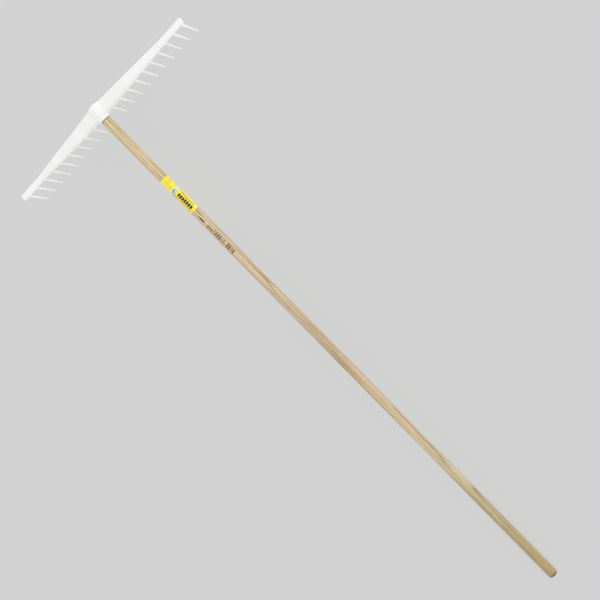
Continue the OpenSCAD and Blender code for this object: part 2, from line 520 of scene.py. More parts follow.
class Graph:
    """Builds one material, or the world, out of nodes."""

    def __init__(self, owner: bpy.types.Material | bpy.types.World) -> None:
        """Starts without nodes.

        Args:
            owner: the material or the world.
        """
        self.owner = owner
        owner.use_nodes = True
        self.tree = owner.node_tree
        self.tree.nodes.clear()

    @classmethod
    def material(cls, name: str) -> "Graph":
        """Starts a new material of that name."""
        return cls(bpy.data.materials.new(name))

    def node(self, kind: str, settings: dict | None = None, inputs: dict | None = None,
             out: int | str = 0) -> Wire:
        """Adds one node.

        Args:
            kind: the node's type.
            settings: properties set first, with "stops" for a ramp's (place, colour) pairs.
            inputs: values or wires by the input's name or number.
            out: name or number of the output.

        Returns:
            The chosen output.
        """
        made = self.tree.nodes.new(kind)
        for key, value in (settings or {}).items():
            if key == "stops":
                self._set_stops(made.color_ramp, value)
            else:
                setattr(made, key, value)
        for key, value in (inputs or {}).items():
            if isinstance(value, Wire):
                self.tree.links.new(value.socket, made.inputs[key])
            else:
                made.inputs[key].default_value = value
        return Wire(self, made.outputs[out])

    @staticmethod
    def _set_stops(ramp: bpy.types.ColorRamp, stops: list[tuple[float, tuple]]) -> None:
        """Gives a ramp its stops.

        Args:
            ramp: the ramp.
            stops: places and colours, in rising order of place.
        """
        while len(ramp.elements) < len(stops):
            ramp.elements.new(1.0)
        for element, (place, colour) in zip(ramp.elements, stops):
            element.position = place
            element.color = colour

    def mix(self, share: Wire | float, first: Wire | tuple, second: Wire | tuple,
            kind: str = "MIX") -> Wire:
        """Colour first at share 0, and at 1 second, or what that kind of blend makes of both."""
        settings = {"data_type": "RGBA", "blend_type": kind}
        return self.node("ShaderNodeMix", settings, {0: share, 6: first, 7: second}, 2)

    def layered(self, colour: Wire | tuple, layers: list[tuple[Wire, tuple]]) -> Wire:
        """Lays colours one over the other.

        Args:
            colour: the lowest one.
            layers: share and colour of each layer, lowest first.

        Returns:
            The colour that shows.
        """
        for share, over in layers:
            colour = self.mix(share, colour, over)
        return colour

    def scaled(self, colour: Wire, by: Wire) -> Wire:
        """Colour made lighter or darker by a factor."""
        return self.node("ShaderNodeVectorMath", {"operation": "SCALE"}, {0: colour, "Scale": by})

    def noise(self, where: Wire, scale: float, detail: float) -> Wire:
        """Smooth noise of about 0 to 1 at a place."""
        return self.node("ShaderNodeTexNoise", None,
                         {"Vector": where, "Scale": scale, "Detail": detail})

    def drawn_noise(self, where: Wire, scale: tuple, detail: float) -> Wire:
        """Noise with its own scale on each axis, so that it is drawn out along one."""
        stretched = self.node("ShaderNodeMapping", None, {"Vector": where, "Scale": scale})
        return self.noise(stretched, 1.0, detail)

    def place(self, turn: float = 0.0, origin: tuple = (0, 0, 0)) -> Wire:
        """Object coordinates in a frame that is turned about x and moved to an origin."""
        raw = self.node("ShaderNodeTexCoord", None, None, "Object")
        return self.node("ShaderNodeMapping", {"vector_type": "TEXTURE"},
                         {"Vector": raw, "Location": origin, "Rotation": (turn, 0, 0)})

    def uv(self) -> Wire:
        """The piece's own UV map."""
        return self.node("ShaderNodeUVMap", {"uv_map": UV_MAP})

    def parts(self, vector: Wire) -> list[Wire]:
        """The three numbers of a vector."""
        split = self.node("ShaderNodeSeparateXYZ", None, {0: vector}).socket.node
        return [Wire(self, number) for number in split.outputs]

    def bump(self, height: Wire, strength: float, distance: float) -> Wire:
        """Normal that shows a height, in metres of distance at height 1."""
        return self.node("ShaderNodeBump", None,
                         {"Height": height, "Strength": strength, "Distance": distance})

    def surface(self, **inputs: Wire | float | tuple) -> bpy.types.Material:
        """Ends the material with a Principled shader.

        Args:
            inputs: its sockets, with underscores for the spaces in their names.

        Returns:
            The finished material.
        """
        named = {key.replace("_", " "): value for key, value in inputs.items()}
        self.end(self.node("ShaderNodeBsdfPrincipled", None, named))
        return self.owner

    def blend(self, share: Wire | float, first: Wire, second: Wire) -> Wire:
        """Shader between first, at share 0, and second, at share 1."""
        return self.node("ShaderNodeMixShader", None, {0: share, 1: first, 2: second})

    def shown(self) -> Wire:
        """1 for rays of the camera, off a gloss or through glass, and 0 for all others."""
        camera, gloss, glass = (self.node("ShaderNodeLightPath", None, None, f"Is {kind} Ray")
                                for kind in ("Camera", "Glossy", "Transmission"))
        return camera.larger(gloss).larger(glass)

    def end(self, shader: Wire, kind: str = "ShaderNodeOutputMaterial") -> None:
        """Wires a shader to the output of a material, or of the world."""
        self.tree.links.new(shader.socket, self.tree.nodes.new(kind).inputs["Surface"])


def srgb(*screen: float) -> tuple[float, float, float, float]:
    """Turns a colour on a screen into the linear one that a shader takes.

    Args:
        screen: red, green and blue, from 0 to 255.

    Returns:
        The linear colour, with alpha 1.
    """
    shares = np.array(screen) / 255
    linear = np.where(shares < 0.04045, shares / 12.92, ((shares + 0.055) / 1.055) ** 2.4)
    return (*linear.tolist(), 1.0)


@dataclass(frozen=True)
class NylonFinish:
    """White moulded nylon: satin and faintly cloudy, greyed by painted shade towards the tine tips."""

    colour: tuple = srgb(248, 248, 248)
    cloud: tuple = srgb(244, 244, 242)
    shaded_tip_colour: tuple = srgb(240, 240, 237)
    roughness: float = 0.36
    shade_height: float = 0.085
    relief: float = 0.00012

    def build(self) -> bpy.types.Material:
        """Builds the material on Object coordinates.

        Returns:
            The finished material, greyed by painted shade below the shade height above the floor.
        """
        g = Graph.material("nylon_white")
        at = g.place()
        height = g.parts(at)[2]
        body = g.mix(g.noise(at, 26.0, 3.0).rise(0.35, 0.7), self.colour, self.cloud)
        # painted shade: the nylon greys towards the floor, down the tines
        colour = g.mix(height.rise(self.shade_height, 0.0) * 0.8, body, self.shaded_tip_colour)
        grain = g.noise(at, 2600.0, 2.0)
        flow = g.drawn_noise(at, (27.0, 180.0, 180.0), 2.0)
        return g.surface(Base_Color=colour, IOR=1.53,
                         Roughness=self.roughness + grain * 0.08 + flow * 0.08,
                         Normal=g.bump(grain * 0.5 + flow * 1.6, 0.35, self.relief))


@dataclass(frozen=True)
class AshFinish:
    """Sanded, unvarnished ash, with a burnt row of plain marks.

    Sizes of the grain are in metres, and those of the dark bands and marks in millimetres. A dark
    band is full at its second number and gone at its first, counted from the socket's mouth or from
    the butt: painted shade at the mouth, and darker end grain with painted shade at the butt.
    A mark cell holds one tick or one bar.
    """

    turn: float
    origin: tuple
    sizes: PoleSizes
    pale: tuple = srgb(238, 220, 186)
    tan: tuple = srgb(214, 190, 152)
    ring: tuple = srgb(168, 134, 94)
    pore: tuple = srgb(132, 102, 70)
    burnt: tuple = srgb(88, 52, 6)
    shade_and_end_grain_colour: tuple = srgb(86, 64, 40)
    ring_width: float = 0.0031
    ring_wander: float = 1.3
    heart: tuple = (0.034, 0.047)
    heart_drift: float = 0.014
    lean: tuple = (0.016, -0.009)
    relief: float = 0.00018
    mouth_shade: tuple = (4.4, 1.6)
    butt_end_grain_and_shade: tuple = (8.2, 4.4)
    marks_from: float = 391.0
    marks_v: float = 0.489
    marks_shift: float = 0.6
    mark_pitch: float = 7.4
    stroke_len: float = 25.5
    stroke_across: tuple = (-2.4, 2.3)
    scorch_along: tuple = (37.0, 138.0)
    scorch_half: float = 6.0
    tick_cells: tuple = (5, 7)
    bar_cells: tuple = ((8, 13), (15, 18))

    def build(self) -> bpy.types.Material:
        """Builds the material on the pole's own frame and its own UV map.

        Returns:
            The finished material.
        """
        g = Graph.material("ash_wood")
        at = g.place(self.turn, self.origin)
        z = g.parts(at)[2]
        year = self._year(g, at)
        early = year.rise(0.40, 0.10) * year.rise(0.0, 0.04)
        late = year.rise(0.5, 1.0)
        streak = self._fibres(g, at, 430.0, 9.0, 7.0)
        tone = self._fibres(g, at, 150.0, 4.5, 5.0)
        pores = self._fibres(g, at, 1500.0, 33.0, 3.0).rise(0.54, 0.64)
        fleck = self._fibres(g, at, 470.0, 19.0, 3.0).rise(0.57, 0.65)
        wood = g.layered(self.pale, [(tone.rise(0.34, 0.66), self.tan),
                                     (early * 0.6 + late * 0.16, self.ring),
                                     (pores * (early * 0.55 + 0.2), self.pore),
                                     (fleck * 0.36, self.ring)])
        tint = g.node("ShaderNodeValToRGB", {"stops": self._tints()},
                      {"Fac": z / (self.sizes.length * MM)})
        wood = g.scaled(g.mix(1.0, wood, tint, "MULTIPLY"), 0.72 + streak * 0.6)
        # painted shade in a line at the socket's mouth, and darker end grain with painted shade at the
        # butt
        shade_and_end_grain = self._shade_and_end_grain(z, g.noise(at, 700.0, 3.0))
        mark = self._marks(g)
        wood = g.layered(wood, [(shade_and_end_grain, self.shade_and_end_grain_colour), (mark, self.burnt)])
        relief = streak * 0.6 - pores * early * 1.2 - mark * 0.9
        return g.surface(Base_Color=wood, Roughness=0.52 + streak * 0.16 + pores * 0.1, IOR=1.33,
                         Normal=g.bump(relief, 0.5, self.relief))

    @staticmethod
    def _fibres(g: Graph, at: Wire, across: float, along: float, detail: float) -> Wire:
        """Noise drawn out along the pole, with its scale across the pole and along it."""
        return g.drawn_noise(at, (across, across, along), detail)

    @staticmethod
    def _tints() -> list[tuple[float, tuple]]:
        """Tint along the pole: pale at the head, browner near the middle and at the butt."""
        tints = ((0.03, 0.92, 0.96, 0.92), (0.11, 0.96, 0.97, 0.97), (0.35, 0.88, 0.90, 0.91),
                 (0.53, 0.72, 0.69, 0.66), (0.69, 0.93, 0.97, 0.96), (0.84, 0.70, 0.73, 0.63),
                 (0.97, 0.65, 0.63, 0.50))
        return [(place, (red, green, blue, 1)) for place, red, green, blue in tints]

    def _year(self, g: Graph, at: Wire) -> Wire:
        """Fraction of the distance to the heart / ring width, where the heart leans and drifts.

        Args:
            g: the material's graph.
            at: place in the pole's own frame, in metres.

        Returns:
            Place within a year ring, 0 to 1 from its spring.
        """
        x, y, z = g.parts(at)
        drift = self._fibres(g, at, 14.0, 1.8, 2.0) - 0.5
        wander = self._fibres(g, at, 90.0, 5.0, 2.0) - 0.5
        from_x = x - self.heart[0] - z * self.lean[0] + drift * self.heart_drift
        from_y = y - self.heart[1] - z * self.lean[1]
        radius = (from_x * from_x + from_y * from_y) ** 0.5
        return (radius / self.ring_width + wander * self.ring_wander).fraction()

    def _shade_and_end_grain(self, z: Wire, speck: Wire) -> Wire:
        """Share of dark colour: painted shade at the socket's mouth, darker end grain and shade at the
        butt.

        Args:
            z: place along the pole, in metres.
            speck: fine noise that breaks the dark colour up.

        Returns:
            0 on bare wood and up to 1 where it is darkest.
        """
        past_mouth = z / MM - self.sizes.socket_front
        to_butt = self.sizes.butt_at - z / MM
        # painted shade: a thin dark line where the pole leaves the socket's mouth
        mouth = past_mouth.rise(*self.mouth_shade) * 0.5
        # darker end grain with painted shade, around the butt's rounded edge
        edge = to_butt.rise(*self.butt_end_grain_and_shade) * (0.66 + speck * 0.5)
        return (mouth + edge) * (0.7 + speck * 0.6)

    @staticmethod
    def _upright(across: Wire, below: Wire, above: Wire) -> Wire:
        """1 from below under the row's middle to above over it, with soft ends."""
        return (below + across).rise(0, 0.8) * (above - across).rise(0, 0.8)

    def _marks(self, g: Graph) -> Wire:
        """Share of burnt colour: one stroke, a row of ticks and two groups of upright bars.

        Args:
            g: the material's graph.

        Returns:
            0 on bare wood and up to 1 in a mark.
        """
        s = self.sizes
        flat = g.uv()
        u, v, _ = g.parts(flat)
        along = u * s.length + s.seat_at - self.marks_from
        across = (v - self.marks_v) * (2 * math.pi * s.r) - self.marks_shift
        cell = (along / self.mark_pitch).floor()
        chance, other = (g.node("ShaderNodeTexWhiteNoise", {"noise_dimensions": "1D"}, {"W": seed})
                         for seed in (cell, cell + 0.5))
        stroke = along.between(0, self.stroke_len, 2.0) * across.between(*self.stroke_across, 0.8)
        stroke = stroke * (along.rise(6, 12) * 0.4 + 0.6)
        scorch = along.between(*self.scorch_along, 3.0) * 0.2
        scorch = scorch * across.between(-self.scorch_half, self.scorch_half, 3.0)
        ticks, first_bars, last_bars = (cell.between(first - 0.5, last + 0.5, 0.1)
                                        for first, last in (self.tick_cells, *self.bar_cells))
        ticks = ticks * self._upright(across, 2.8 + chance * 2.0, 4.4 + other * 2.0)
        bars = self._upright(across, 6.2 + chance * 2.6, 4.8 + other * 2.4) * (first_bars + last_bars)
        in_cell = (along / self.mark_pitch).fraction().between(0.14, 0.70, 0.06)
        strength = other.rise(0.1, 0.75) * 0.36 + 0.64
        mark = stroke + in_cell * strength * (ticks * 0.8 + bars)
        fade = g.drawn_noise(flat, (900.0, 40.0, 1.0), 2.0)
        return scorch.larger(mark * (0.48 + fade * 0.74)).rise(0.0, 1.0)


@dataclass(frozen=True)
class LabelFinish:
    """Glossy yellow film, printed with a plain band, blank bars and thin lines.

    Places are in millimetres: along from the end near the head, and across around the pole from
    the middle of the face, with the lower side above 0.
    """

    length: float
    girth: float = 89.0
    face_v: float = 0.4425
    yellow: tuple = srgb(247, 237, 74)
    orange: tuple = srgb(243, 208, 56)
    shade_brown: tuple = srgb(186, 138, 48)
    line: tuple = srgb(196, 112, 36)
    white: tuple = srgb(236, 241, 242)
    blue: tuple = srgb(88, 108, 176)
    green: tuple = srgb(142, 190, 84)
    dark: tuple = srgb(44, 50, 44)
    thread_across: tuple = (-10.4, -7.7)
    thread_along: tuple = (60.0, 108.0)
    band_at: float = 43.0
    band_bow: float = 0.035
    band_half: float = 4.9
    band_blue: tuple = (-3.0, 1.6)
    band_green: float = 7.4
    tick_pitch: float = 3.1
    bars_along: tuple = (57.9, 111.6)
    bars_across: tuple = (-3.4, 6.8)
    bar_pitch: float = 7.8
    panel_half: float = 15.0
    panel_along: tuple = (10.0, 112.0)
    row_pitch: float = 4.2
    relief: float = 0.0005

    def build(self) -> bpy.types.Material:
        """Lays one colour over the other, print and painted shade, on the sleeve's own UV map.

        Returns:
            The finished material.
        """
        g = Graph.material("label_film")
        flat = g.uv()
        u, v, _ = g.parts(flat)
        along = u * self.length
        across = (v - self.face_v) * self.girth
        blot = g.drawn_noise(flat, (11.0, 9.0, 1.0), 3.0).rise(0.44, 0.62)
        inks_and_shade = self._ground(blot, along, across) + self._band(along, across)
        film = g.layered(self.yellow, inks_and_shade + self._blanks(along, across))
        ripple = g.drawn_noise(flat, (9.0, 5.0, 1.0), 2.0)
        return g.surface(Base_Color=film, Roughness=0.3 + ripple * 0.12, IOR=1.5,
                         Normal=g.bump(ripple, 0.4, self.relief))

    def _ground(self, blot: Wire, along: Wire, across: Wire) -> list[tuple[Wire, tuple]]:
        """Orange blots, painted shade on the lower edge, and one wavy thread.

        Args:
            blot: slow noise that breaks the orange up.
            along: place along the pole.
            across: place around it.

        Returns:
            Share and colour of each layer, lowest first.
        """
        near_head = along.rise(42, 30) * across.between(-11, 7, 6.0)
        past_band = across.rise(-3, -9) * along.rise(74, 62)
        shaded_lower_edge = along.rise(50, 56) * along.rise(118, 114)
        wave = across + (along / 8.0).sine() * 1.1 + (along / 2.9).sine() * 0.4
        thread = wave.between(*self.thread_across, 0.8) * along.between(*self.thread_along, 3.0)
        return [(blot * (near_head + past_band), self.orange),
                # painted shade: orange and a thin darker line darken the film's lower edge
                (shaded_lower_edge * across.between(8.6, 18.0, 2.0) * 0.8, self.orange),
                (shaded_lower_edge * across.between(10.2, 12.6, 1.2) * 0.7, self.shade_brown),
                (thread, self.line)]

    def _band(self, along: Wire, across: Wire) -> list[tuple[Wire, tuple]]:
        """White and blue band, with ticks in it and a green edge.

        The band's middle runs at band_at + band_bow w^2, where w is the distance past the middle
        of the face on its lower side.

        Args:
            along: place along the pole.
            across: place around it.

        Returns:
            Share and ink of each layer, lowest first.
        """
        low = across.larger(0.0)
        band = along - self.band_at - low * low * self.band_bow
        ticks = (across / self.tick_pitch).fraction().between(0.2, 0.7, 0.3)
        ticks = ticks * band.between(-3.4, 2.4, 1.0) * across.rise(1, -3) * 0.5
        return [(band.between(-self.band_half, self.band_half, 1.4), self.white),
                (band.between(*self.band_blue, 1.2) * across.rise(-5, 2), self.blue),
                (ticks, self.blue),
                (band.between(self.band_half, self.band_green, 0.8) * across.rise(-9, 0), self.green)]

    def _blanks(self, along: Wire, across: Wire) -> list[tuple[Wire, tuple]]:
        """Row of blank bars on the face, and a white panel with grey rows on the underside.

        Args:
            along: place along the pole.
            across: place around it.

        Returns:
            Share and ink of each layer, lowest first.
        """
        bar = ((along - self.bars_along[0] + 0.1) / self.bar_pitch).fraction().between(0.03, 0.85, 0.05)
        bars = bar * along.between(*self.bars_along, 0.3) * across.between(*self.bars_across, 0.6)
        panel = abs(across - self.girth / 2).between(-1, self.panel_half, 0.5)
        panel = panel * along.between(*self.panel_along, 0.5)
        row = (across / self.row_pitch).fraction().between(0.3, 0.62, 0.12) * along.between(16, 104, 1.0)
        return [(bars, self.dark), (panel, self.white), (panel * row * 0.55, self.dark)]


@dataclass(frozen=True)
class ZincFinish:
    """Bright zinc plating with fine drawn lines."""

    bright: tuple = srgb(206, 208, 212)
    dull: tuple = srgb(172, 175, 180)
    relief: float = 0.00003

    def build(self) -> bpy.types.Material:
        """Builds the material on Object coordinates.

        Returns:
            The finished material.
        """
        g = Graph.material("zinc_plating")
        at = g.place()
        patch = g.noise(at, 900.0, 2.0).rise(0.35, 0.65)
        lines = g.drawn_noise(at, (600.0, 600.0, 9000.0), 2.0)
        return g.surface(Base_Color=g.mix(patch, self.bright, self.dull), Metallic=1.0,
                         Roughness=0.26 + lines * 0.2, Normal=g.bump(lines, 0.3, self.relief))


class Station(NamedTuple):
    """One outline of an arm, at x along the bar.

    It is solid below where it is filled. boss is half the width of a tine's boss, and shrink is
    how far the outline is drawn in at the rounded end.
    """

    x: float
    filled: bool
    boss: float = 0.0
    has_boss: bool = False
    shrink: float = 0.0


@dataclass
class NylonHead:
    """The moulded head: hub, two arms and the tines."""

    place: RakeFrame
    sizes: HeadSizes
    pole: PoleSizes
    finish: bpy.types.Material
    cell: float = 0.8
    margin: float = 3.0
    blend: float = 6.0
    pad_blend: float = 1.4
    lip_blend: float = 1.6
    arc_steps: int = 4
    boss_steps: int = 14
    corner_steps: int = 8
    gap_shares: tuple = (0.25, 0.5, 0.75)
    pocket_rim_r: float = 0.7
    pocket_roof_r: float = 1.2
    boss_root_r: float = 0.8
    boss_clear: float = 0.4
    tine_len: float = 94.0
    shaft_r: float = 3.4
    tip_r: float = 1.7
    flare_h: float = 12.0
    web_foot: float = 0.7
    web_slope: float = 1.1
    web_blend: float = 0.9
    web_least: float = 0.05
    web_past: float = 4.0
    fillet: float = 1.6
    fillet_parts: float = 6.0
    tine_rings: int = 34
    tip_rings: int = 7
    tip_flat: float = 0.02
    quarter_points: int = 19
    crowding: float = 1.7
    bow: tuple = (0.5, 0.2)
    seed: int = 20

    def bar_distance(self, points: np.ndarray) -> np.ndarray:
        """Distance to the bar: a rounded box in y and z that tapers along x.

        Args:
            points: points of the head's own frame.

        Returns:
            Distances, negative inside.
        """
        s = self.sizes
        x, y, z = np.moveaxis(points, -1, 0)
        top = s.top(x)
        middle = (top + s.bottom) / 2
        r = np.where(z > middle, s.top_edge_r, s.lip_r)
        past_side = np.abs(y) - s.half_width(x) + r
        return rounded_corner(past_side, np.abs(z - middle) - (top - s.bottom) / 2 + r, r)

    def hub_distance(self, points: np.ndarray) -> np.ndarray:
        """Distance to the hub: bar and narrowing tube with a fillet, pad added, bore taken out.

        Args:
            points: points of the head's own frame.

        Returns:
            Distances, negative inside.
        """
        p = self.pole
        x, y, z = np.moveaxis(points, -1, 0)
        lean = math.radians(p.angle)
        along = y * math.sin(lean) - z * math.cos(lean)
        below = -y * math.cos(lean) - z * math.sin(lean)
        rho = np.hypot(x, below)
        middle = (p.socket_front - p.socket_back) / 2
        narrowed = np.clip(1 - (p.socket_front - along) / p.mouth_taper, 0, 1)
        r = np.where(along > middle, p.mouth_round, p.socket_back_r)
        past_wall = rho - p.socket_r + (p.socket_r - p.r - p.mouth_wall) * narrowed + r
        past_end = np.abs(along - middle) - (p.socket_front + p.socket_back) / 2 + r
        tube = rounded_corner(past_wall, past_end, r)
        pad = np.maximum(np.hypot(x, along - p.pad_at) - p.pad_r,
                         np.abs(below - p.pad_y / 2) - p.pad_y / 2)
        body = soft_min(self.bar_distance(points), tube, self.blend)
        body = soft_min(body, pad, self.pad_blend)
        bore = np.maximum(rho - p.r, p.seat_at - along)
        return soft_max(body, -bore, self.lip_blend)

    def build_hub(self) -> bpy.types.Object:
        """Nets the hub's distance function and cuts it flat where the arms begin.

        The net's grid reaches past the corners of the tube, seen from the side.

        Returns:
            The hub.
        """
        p = self.pole
        lean = math.radians(p.angle)
        along = np.array([-p.socket_back, p.socket_front])[:, None]
        below = p.socket_r * np.array([-1.0, 1.0])[None, :]
        y = along * math.sin(lean) - below * math.cos(lean)
        z = -along * math.cos(lean) - below * math.sin(lean)
        half = self.sizes.hub_cut
        low = tuple(float(v) - self.margin for v in (-half, y.min(), z.min()))
        high = tuple(float(v) + self.margin for v in (half, y.max(), z.max()))
        points, quads = surface_net(self.hub_distance, low, high, self.cell)
        mesh = bpy.data.meshes.new("socket_hub_moulding")
        mesh.from_pydata(self.place.head(points).tolist(), [], quads.tolist())
        shell = bmesh.new()
        shell.from_mesh(mesh)
        for side in Side:
            cut = bmesh.ops.bisect_plane(
                shell, geom=[*shell.verts, *shell.edges, *shell.faces], clear_outer=True, dist=1e-7,
                plane_co=(side.value * half * MM, 0, 0), plane_no=(side.value, 0, 0))
            rim = [e for e in cut["geom_cut"] if isinstance(e, bmesh.types.BMEdge)]
            bmesh.ops.holes_fill(shell, edges=rim)
        shell.to_mesh(mesh)
        shell.free()
        return self._dressed(finished("socket_hub_moulding", mesh, 50.0), "socket_hub")

    def _tine_stations(self, tine: float, nearest: bool) -> list[Station]:
        """Stations of one arm around a tine, with two where the pocket opens, closes or ends.

        A boss of radius b has stations at b cos(a), where its half width is b sin(a). The pocket
        is filled across the web, and from the hub to the web of the nearest tine.

        Args:
            tine: the tine's distance from the middle.
            nearest: whether it is the tine nearest to the hub.

        Returns:
            The stations, in rising order of x.
        """
        s = self.sizes
        half_web = s.web_t / 2
        arc = -s.boss_r * np.cos(np.linspace(0, math.pi, self.boss_steps + 1))
        stations = []
        for dx in sorted([*arc, -half_web, half_web]):
            to_hub = nearest and dx < half_web
            if to_hub and tine + dx <= s.hub_cut:
                continue
            boss = math.sqrt(max(s.boss_r ** 2 - dx ** 2, 0))
            bare = Station(tine + dx, False)
            opened = Station(tine + dx, False, boss, True)
            found = [opened._replace(filled=abs(dx) <= half_web or to_hub)]
            if math.isclose(abs(dx), half_web) and not to_hub:
                found.append(opened)
            if abs(dx) > s.boss_r - 1e-6 and not to_hub:
                found.append(bare)
            stations += found if dx > 0 else found[::-1]
        return stations

    def _end_stations(self) -> list[Station]:
        """Stations of one arm's end, whose corners are rounded and whose wall closes the pocket.

        Returns:
            The stations, in rising order of x.
        """
        s = self.sizes
        turn = np.linspace(0, QUARTER, self.corner_steps + 1)
        xs = s.end - s.bar_corner_r + s.bar_corner_r * np.sin(turn)
        shrink = s.bar_corner_r * (1 - np.cos(turn))
        wall = s.end - s.wall
        at_wall = np.interp(wall, xs, shrink)
        stations = [Station(x, x > wall, shrink=d) for x, d in zip(xs, shrink)]
        stations += [Station(wall, False, shrink=at_wall), Station(wall, True, shrink=at_wall)]
        return sorted(stations, key=lambda station: (station.x, station.filled))

    def build_arm(self, side: Side) -> bpy.types.Object:
        """Carries the arm's outline, an upside-down channel, along x.

        Args:
            side: the half of the head.

        Returns:
            The arm, with its pockets open below.
        """
        s = self.sizes
        tines = s.tine_xs()
        gap = s.tine_pitch - 2 * s.boss_r
        stations = [Station(s.hub_cut, True)]
        for tine in tines:
            stations += self._tine_stations(tine, tine == tines[0])
            if tine < tines[-1]:
                stations += [Station(tine + s.boss_r + gap * f, False) for f in self.gap_shares]
        stations += self._end_stations()
        x, filled, boss, has_boss, shrink = np.array(stations, float).T
        w = s.half_width(x) - shrink
        top = s.top(x) - shrink
        low = s.bottom + np.minimum(shrink, s.lip_r)
        inner = w - s.wall + shrink
        inner = np.where(filled, np.minimum(inner, w - s.lip_r), inner)
        roof = np.where(filled, low, top - s.roof)
        b = np.minimum(boss, inner - self.boss_clear)
        rim = np.where(has_boss, low, roof)
        loop = [(-w, low), (-w, top), (w, top), (w, low), (inner, low), (inner, roof), (b, roof),
                (b, rim), (-b, rim), (-b, roof), (-inner, roof), (-inner, low)]
        corners = np.stack([np.stack(pair, axis=-1) for pair in loop], axis=1)
        outside = [s.lip_r, s.top_edge_r, s.top_edge_r, s.lip_r]
        pocket = [self.pocket_rim_r, self.pocket_roof_r, self.boss_root_r, 0.0]
        outline = corner_arcs(corners, np.array(outside + pocket + pocket[::-1]), self.arc_steps)
        xs = np.broadcast_to(side.value * x[:, None], outline.shape[:2])
        rings = np.stack([xs, outline[..., 0], outline[..., 1]], axis=-1)
        name = f"crossbar_{side.name.lower()}"
        return self._dressed(skin(f"{name}_moulding", self.place.head(rings), 45.0), name)

    def _tine_shaft(self) -> tuple[np.ndarray, np.ndarray]:
        """Rings of a tine's round shaft.

        It flares to its root in an arc, whose radius is (h^2 + f^2) / 2 f for a height h and a
        flare f, narrows evenly below that and ends in a half ball.

        Returns:
            Depth of each ring below the bar, and its radius.
        """
        body = self.tine_len - self.tip_r
        depth = body * np.linspace(0, 1, self.tine_rings) ** self.crowding
        flare_out = self.sizes.boss_r - self.shaft_r
        flare_r = (self.flare_h ** 2 + flare_out ** 2) / (2 * flare_out)
        rise = np.clip(self.flare_h - depth, 0, None)
        flare = flare_r - np.sqrt(flare_r ** 2 - rise ** 2)
        run = np.clip((depth - self.flare_h) / (body - self.flare_h), 0, 1)
        shaft = self.shaft_r + (self.tip_r - self.shaft_r) * run + flare
        turn = np.linspace(0, QUARTER, self.tip_rings + 1)[1:]
        ball = self.tip_r * np.cos(turn).clip(self.tip_flat)
        depth = np.concatenate([depth, body + self.tip_r * np.sin(turn)])
        return depth, np.concatenate([shaft, ball])

    def _tine_angles(self) -> np.ndarray:
        """Angles around a tine, crowded where the web's faces meet the shaft.

        Returns:
            Angles from y, once around.
        """
        quarter = QUARTER * np.linspace(0, 1, self.quarter_points) ** self.crowding
        half = np.concatenate([quarter, math.pi - quarter[-2::-1]])
        return np.concatenate([half, half[1:-1] + math.pi])

    def build_tine(self, number: int, rng: np.random.Generator) -> bpy.types.Object:
        """Lofts one tine down from the bar.

        At depth h and angle a from y, the radius is the larger of the shaft's and of the
        web's, min(half length / |cos a|, half thickness / |sin a|), joined with a fillet. The
        tine bends away from its line by bow (h / length)^2.

        Args:
            number: the tine's number, counted from the user's left.
            rng: source of the tine's slight bow.

        Returns:
            The tine, closed at its root and round at its tip.
        """
        s = self.sizes
        x0 = s.tine_x(number)
        depth, shaft = self._tine_shaft()
        angle = self._tine_angles()
        web_top = float(s.half_width(np.array(x0))) - s.wall / 2
        web_h = self.flare_h + self.web_slope * (web_top - s.boss_r)
        reach = web_top + (self.web_foot * self.shaft_r - web_top) * depth / web_h
        ahead = np.maximum(reach, self.web_least)[:, None] / np.maximum(np.abs(np.cos(angle)), 1e-3)
        beside = (s.web_t / 2) / np.maximum(np.abs(np.sin(angle)), 1e-3)
        web = soft_min(ahead, beside, self.web_blend)
        fillet = np.clip(reach / self.fillet_parts, self.web_least, self.fillet)[:, None]
        radius = soft_max(shaft[:, None], web, fillet)
        radius = np.where(depth[:, None] < web_h + self.web_past, radius, shaft[:, None])
        lean = rng.uniform(-1, 1, 2) * self.bow
        bend = (depth[:, None] / self.tine_len) ** 2
        rings = np.stack([
            x0 + radius * np.sin(angle) + bend * lean[0],
            radius * np.cos(angle) + bend * lean[1],
            np.broadcast_to((s.bottom - depth)[:, None], radius.shape),
        ], axis=-1)
        name = f"tine_{number:02d}"
        return self._dressed(skin(f"{name}_moulding", self.place.head(rings), 50.0), name)

    def _dressed(self, piece: bpy.types.Object, node: str) -> bpy.types.Object:
        """Gives a piece the nylon finish and lets it stand for its node."""
        return dressed(piece, self.finish, node)

    def build(self) -> None:
        """Builds the hub, both arms and every tine."""
        self.build_hub()
        for side in Side:
            self.build_arm(side)
        rng = np.random.default_rng(self.seed)
        for number in range(1, 2 * self.sizes.tines_per_side + 1):
            self.build_tine(number, rng)


